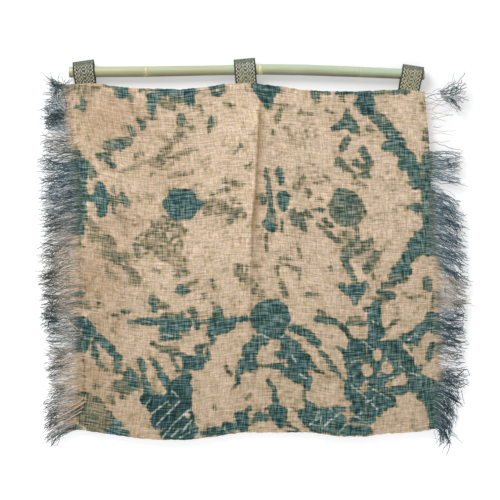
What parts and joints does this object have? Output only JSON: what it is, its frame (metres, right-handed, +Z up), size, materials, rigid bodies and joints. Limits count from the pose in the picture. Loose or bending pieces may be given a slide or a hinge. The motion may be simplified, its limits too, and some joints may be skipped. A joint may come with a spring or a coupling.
{
  "type": "raffia wall hanging on bamboo rod",
  "caption": "Square of resist-dyed raffia cloth with fringed sides, hung by ribbon loops from a straight bamboo rod.",
  "frame": {"origin": "on the rod's axis at the middle of its length", "axes": "+X along the rod to the right as seen from the front, +Y from the cloth's face towards the wall, +Z up"},
  "size_m": [0.8118, 0.0236, 0.7355],
  "materials": {
    "raffia": "plain weave of natural raffia yarn, resist dyed teal, matt",
    "bamboo": "pale green cane with a smooth, slightly waxy skin",
    "ribbon": "woven jacquard ribbon, grey green and cream",
    "fringe": "loose raffia weft ends, dyed dark slate green, undyed in places"
  },
  "bodies": {
    "root": {"cloth": "raffia", "rod": "bamboo", "tab_left": "ribbon", "tab_middle": "ribbon", "tab_right": "ribbon", "fringe_left": "fringe", "fringe_right": "fringe"}
  },
  "joints": []
}
